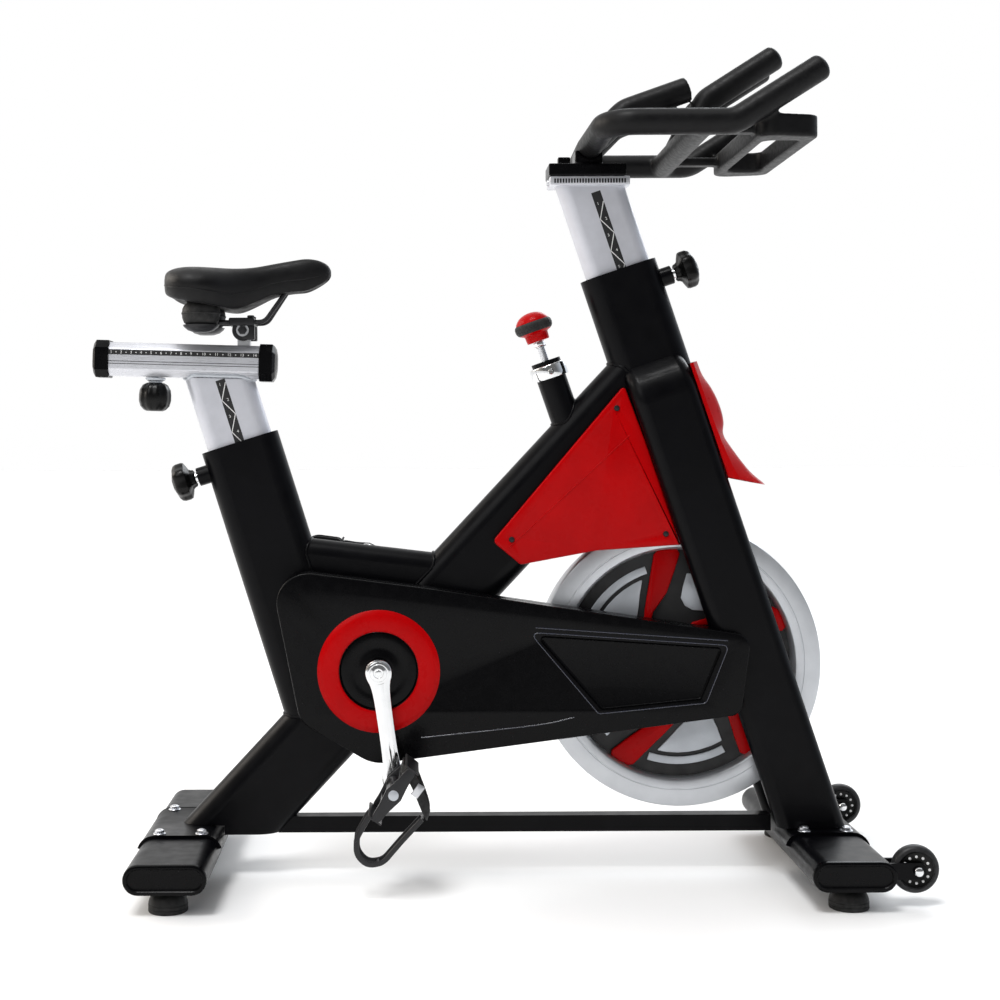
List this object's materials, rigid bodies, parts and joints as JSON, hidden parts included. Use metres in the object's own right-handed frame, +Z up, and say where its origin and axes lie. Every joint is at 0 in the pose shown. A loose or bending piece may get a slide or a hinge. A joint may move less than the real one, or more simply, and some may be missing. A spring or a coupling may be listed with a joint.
{
  "type": "indoor spin bike",
  "caption": "Belt-driven indoor cycling bike with a weighted flywheel, sliding saddle, multi-grip handlebar, friction brake and transport wheels.",
  "frame": {"origin": "on the floor under the middle of the bike", "axes": "+X towards the front, +Y to the rider's left, +Z up"},
  "size_m": [1.2959, 0.5, 1.3179],
  "materials": {
    "painted_frame": "gloss powder coat",
    "black_plastic": "gloss moulded ABS",
    "red_plastic": "gloss moulded ABS",
    "zinc_steel": "zinc plated",
    "rubber": "matte",
    "cast_iron": "turned rim, painted web",
    "cast_aluminium": "cast and machined",
    "chrome": "chrome plated",
    "pedal_black": "moulded nylon",
    "felt": "pressed wool",
    "knob_plastic": "satin moulded",
    "anodised_aluminium": "silver satin",
    "black_steel": "black powder coat",
    "saddle_vinyl": "satin grained cover over foam",
    "grip_foam": "dipped soft grip over steel tube"
  },
  "bodies": {
    "root": {"main_beam": "painted_frame", "head_tube": "painted_frame", "seat_tube": "painted_frame", "top_tube": "painted_frame", "fork_leg_left": "painted_frame", "fork_leg_right": "painted_frame", "fork_crown": "painted_frame", "bottom_bracket_shell": "painted_frame", "brake_tube": "painted_frame", "bottom_rail": "painted_frame", "rear_stabiliser": "painted_frame", "front_stabiliser": "painted_frame", "saddle_plates": "painted_frame", "axle_plates": "painted_frame", "stabiliser_end_caps": "black_plastic", "post_sleeves": "black_plastic", "belt_guard_inner": "black_plastic", "belt_guard_outer": "black_plastic", "guard_ring": "red_plastic", "side_cover_left": "red_plastic", "side_cover_right": "red_plastic", "front_shield": "red_plastic", "plate_bolts": "zinc_steel", "flywheel_axle": "zinc_steel", "bearings": "zinc_steel", "drive_belt": "rubber"},
    "foot_rear_left": {"levelling_foot_rear_left": "rubber"},
    "foot_rear_right": {"levelling_foot_rear_right": "rubber"},
    "foot_front_left": {"levelling_foot_front_left": "rubber"},
    "foot_front_right": {"levelling_foot_front_right": "rubber"},
    "wheel_left": {"transport_wheel_left": "rubber"},
    "wheel_right": {"transport_wheel_right": "rubber"},
    "flywheel_body": {"flywheel": "cast_iron", "flywheel_pulley": "cast_aluminium"},
    "crank_set": {"crank_axle": "zinc_steel", "drive_pulley": "cast_aluminium", "crank_arm_right": "chrome", "crank_arm_left": "chrome", "pedal_spindles": "zinc_steel"},
    "pedal_right_body": {"pedal_right": "pedal_black"},
    "pedal_left_body": {"pedal_left": "pedal_black"},
    "brake_plunger": {"brake_rod": "zinc_steel", "brake_pad": "felt"},
    "brake_knob_body": {"brake_knob": "knob_plastic"},
    "seat_mast": {"seat_post": "anodised_aluminium", "seat_slide_tube": "anodised_aluminium", "slide_end_caps": "black_plastic"},
    "seat_knob_body": {"seat_lock_knob": "knob_plastic"},
    "seat_slider": {"seat_carriage": "cast_aluminium"},
    "saddle": {"saddle_bracket": "black_steel", "saddle_shell": "black_plastic", "saddle_pad": "saddle_vinyl"},
    "rear_pin_body": {"rear_pull_pin": "knob_plastic"},
    "front_pin_body": {"front_pull_pin": "knob_plastic"},
    "bar_mast": {"handlebar_post": "anodised_aluminium", "handlebar_rail": "cast_aluminium"},
    "bars": {"handlebar_base": "black_steel", "handlebar": "grip_foam", "aero_bars": "grip_foam", "handlebar_front_plate": "grip_foam"}
  },
  "joints": [
    {"name": "foot_rear_left_screw", "type": "slide", "parent": "root", "child": "foot_rear_left", "axis": [0, 0, -1], "range_m": [0, 0.015]},
    {"name": "foot_rear_right_screw", "type": "slide", "parent": "root", "child": "foot_rear_right", "axis": [0, 0, -1], "range_m": [0, 0.015]},
    {"name": "foot_front_left_screw", "type": "slide", "parent": "root", "child": "foot_front_left", "axis": [0, 0, -1], "range_m": [0, 0.015]},
    {"name": "foot_front_right_screw", "type": "slide", "parent": "root", "child": "foot_front_right", "axis": [0, 0, -1], "range_m": [0, 0.015]},
    {"name": "wheel_left_spin", "type": "hinge", "parent": "root", "child": "wheel_left", "pos_m": [0.613, 0.205, 0.0555], "axis": [0, 1, 0], "continuous": true},
    {"name": "wheel_right_spin", "type": "hinge", "parent": "root", "child": "wheel_right", "pos_m": [0.613, -0.205, 0.0555], "axis": [0, 1, 0], "continuous": true},
    {"name": "flywheel_spin", "type": "hinge", "parent": "root", "child": "flywheel_body", "pos_m": [0.294, 0, 0.3355], "axis": [0, 1, 0], "continuous": true},
    {"name": "crank_spin", "type": "hinge", "parent": "root", "child": "crank_set", "pos_m": [-0.1855, 0, 0.335], "axis": [0, 1, 0], "continuous": true},
    {"name": "pedal_right_spin", "type": "hinge", "parent": "crank_set", "child": "pedal_right_body", "pos_m": [-0.16213, -0.155, 0.16661], "axis": [0, 1, 0], "continuous": true},
    {"name": "pedal_left_spin", "type": "hinge", "parent": "crank_set", "child": "pedal_left_body", "pos_m": [-0.20887, 0.155, 0.50339], "axis": [0, 1, 0], "continuous": true},
    {"name": "brake_push", "type": "slide", "parent": "root", "child": "brake_plunger", "axis": [0.3239, 0, -0.9461], "range_m": [0, 0.006], "stiffness_N_per_m": 1500, "springref_m": -0.004},
    {"name": "resistance_turn", "type": "hinge", "parent": "brake_plunger", "child": "brake_knob_body", "pos_m": [0.06906, 0, 0.86877], "axis": [-0.3239, 0, 0.9461], "range_deg": [0, 1080]},
    {"name": "seat_height", "type": "slide", "parent": "root", "child": "seat_mast", "axis": [-0.299, 0, 0.9542], "range_m": [-0.07, 0.09]},
    {"name": "seat_lock_turn", "type": "hinge", "parent": "seat_mast", "child": "seat_knob_body", "pos_m": [-0.54658, 0, 0.77553], "axis": [0.0314, 0, 0.9995], "range_deg": [0, 540]},
    {"name": "seat_fore_aft", "type": "slide", "parent": "seat_mast", "child": "seat_slider", "axis": [0.9995, 0, -0.0314], "range_m": [-0.16, 0]},
    {"name": "saddle_tilt", "type": "hinge", "parent": "seat_slider", "child": "saddle", "pos_m": [-0.402, 0, 0.873], "axis": [0, 1, 0], "range_deg": [-8, 8]},
    {"name": "rear_pin_pull", "type": "slide", "parent": "root", "child": "rear_pin_body", "axis": [-0.9542, 0, -0.299], "range_m": [0, 0.012], "stiffness_N_per_m": 1200, "springref_m": -0.005},
    {"name": "front_pin_pull", "type": "slide", "parent": "root", "child": "front_pin_body", "axis": [0.9489, 0, 0.3156], "range_m": [0, 0.012], "stiffness_N_per_m": 1200, "springref_m": -0.005},
    {"name": "bar_height", "type": "slide", "parent": "root", "child": "bar_mast", "axis": [-0.3156, 0, 0.9489], "range_m": [-0.08, 0.08]},
    {"name": "bar_fore_aft", "type": "slide", "parent": "bar_mast", "child": "bars", "axis": [1, 0, 0], "range_m": [-0.03, 0.03]}
  ],
  "couplings": [
    {"joint": "crank_spin", "follows": "flywheel_spin", "ratio": 0.30769}
  ]
}
